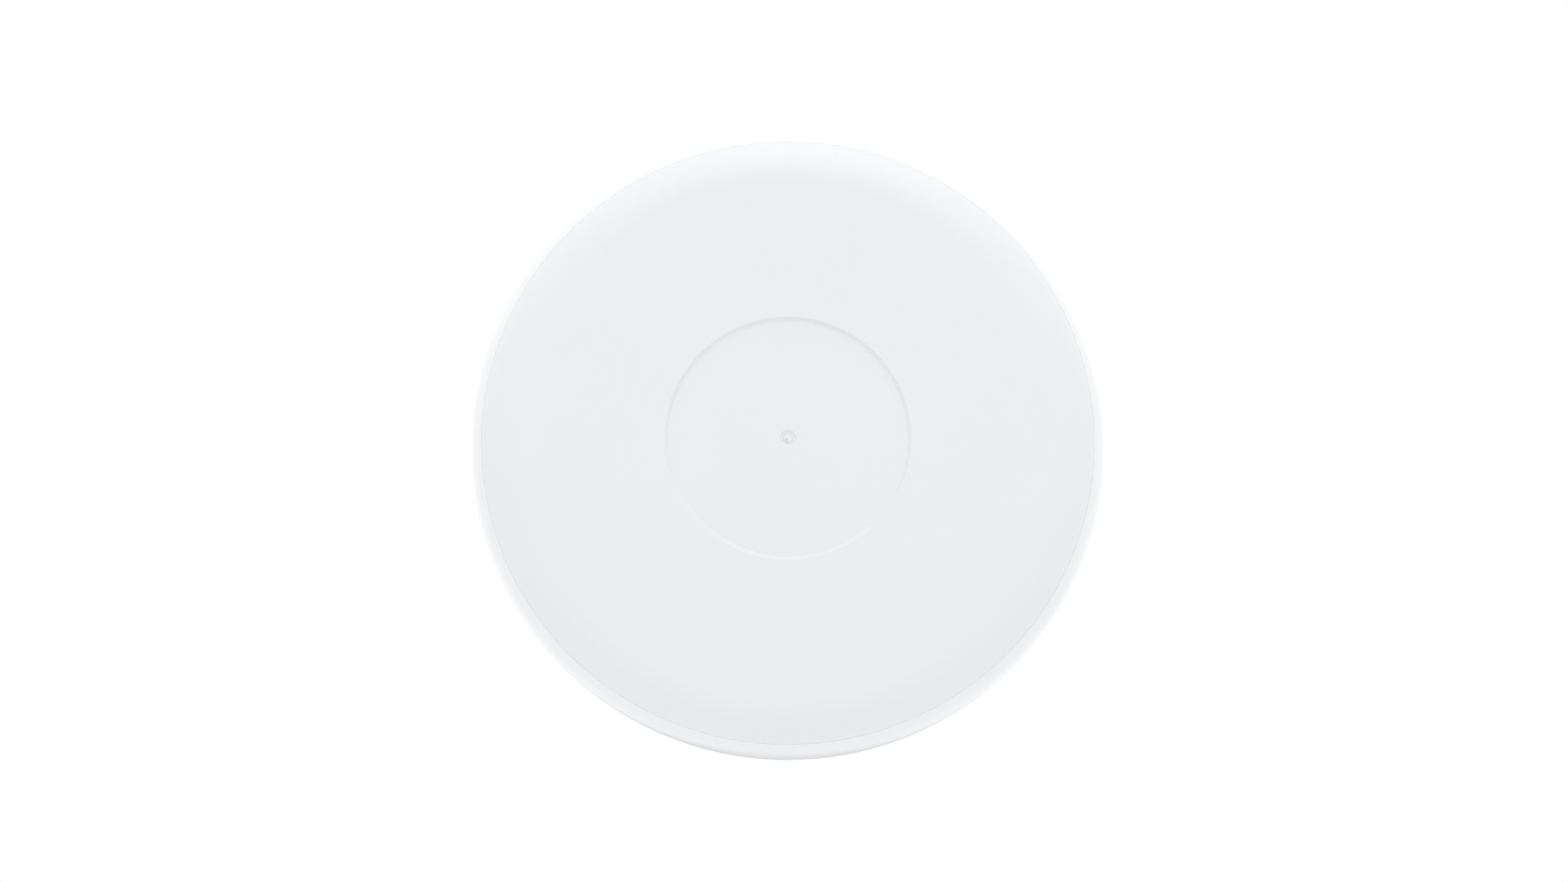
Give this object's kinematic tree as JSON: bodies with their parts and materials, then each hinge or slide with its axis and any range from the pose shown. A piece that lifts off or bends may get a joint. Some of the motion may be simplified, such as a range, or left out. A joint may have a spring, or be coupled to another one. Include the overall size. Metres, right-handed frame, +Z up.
{
  "type": "ceiling access point",
  "caption": "Round ceiling-mounted wireless access point with a plain domed-edge cover, twist-lock bracket and recessed network port.",
  "frame": {"origin": "centre of the bracket's screw circle, on the ceiling plane", "axes": "+Z up into the ceiling, so the face looks down along -Z; the network jack faces -Y inside the port bay"},
  "size_m": [0.16, 0.16, 0.033],
  "materials": {
    "cover_plastic": "fine satin moulded finish",
    "base_plastic": "fine satin moulded finish",
    "bracket_plastic": "light spark-eroded texture",
    "label_paper": "matt coated label stock",
    "stud_steel": "turned and zinc plated",
    "sink_aluminium": "as die cast",
    "screw_steel": "zinc plated",
    "pad_rubber": "soft silicone",
    "board_laminate": "solder mask",
    "chip_plastic": "moulded epoxy",
    "ferrite": "sintered",
    "magnetics_plastic": "moulded epoxy",
    "capacitor_can": "drawn can",
    "antenna_metal": "tinned sheet",
    "shield_metal": "drawn tinned sheet",
    "jack_metal": "nickel plated sheet",
    "jack_plastic": "moulded",
    "contact_gold": "gold plated wire",
    "button_plastic": "moulded",
    "switch_plastic": "moulded",
    "led_resin": "cast resin",
    "foam_rubber": "closed-cell foam",
    "light_resin": "clear moulded"
  },
  "bodies": {
    "bracket": {"mounting_bracket": "bracket_plastic"},
    "access_point": {"base_housing": "base_plastic", "front_cover": "cover_plastic", "port_tray": "base_plastic", "rating_label": "label_paper", "bayonet_studs": "stud_steel", "heat_sink": "sink_aluminium", "heat_sink_screws": "screw_steel", "thermal_pads": "pad_rubber", "main_board": "board_laminate", "board_screws": "screw_steel", "processor": "chip_plastic", "memory_chips": "chip_plastic", "flash_chip": "chip_plastic", "radio_chips": "chip_plastic", "processor_shield": "shield_metal", "low_band_shield": "shield_metal", "high_band_shield": "shield_metal", "power_transformer": "ferrite", "line_magnetics": "magnetics_plastic", "capacitors": "capacitor_can", "inductors": "ferrite", "low_band_antennas": "antenna_metal", "high_band_antennas": "antenna_metal", "ethernet_jack_shell": "jack_metal", "ethernet_jack_body": "jack_plastic", "ethernet_contacts": "contact_gold", "reset_switch": "switch_plastic", "status_led": "led_resin", "light_foam": "foam_rubber", "light_guide": "light_resin"},
    "lock_tab": {"lock_tab": "bracket_plastic"},
    "reset_button": {"reset_button": "button_plastic", "switch_plunger": "switch_plastic"}
  },
  "joints": [
    {"name": "twist_lock", "type": "hinge", "parent": "bracket", "child": "access_point", "pos_m": [0, 0, -0.005], "axis": [0, 0, 1], "range_deg": [-20, 0]},
    {"name": "lock_tab_flex", "type": "hinge", "parent": "bracket", "child": "lock_tab", "pos_m": [-0.01091, -0.02633, -0.0038], "axis": [-0.9239, 0.3827, 0], "range_deg": [0, 3.75]},
    {"name": "reset_press", "type": "slide", "parent": "access_point", "child": "reset_button", "axis": [0, 1, 0], "range_m": [0, 0.0005], "stiffness_N_per_m": 600}
  ],
  "couplings": [
    {"joint": "lock_tab_flex", "follows": "twist_lock", "ratio": -0.186}
  ]
}
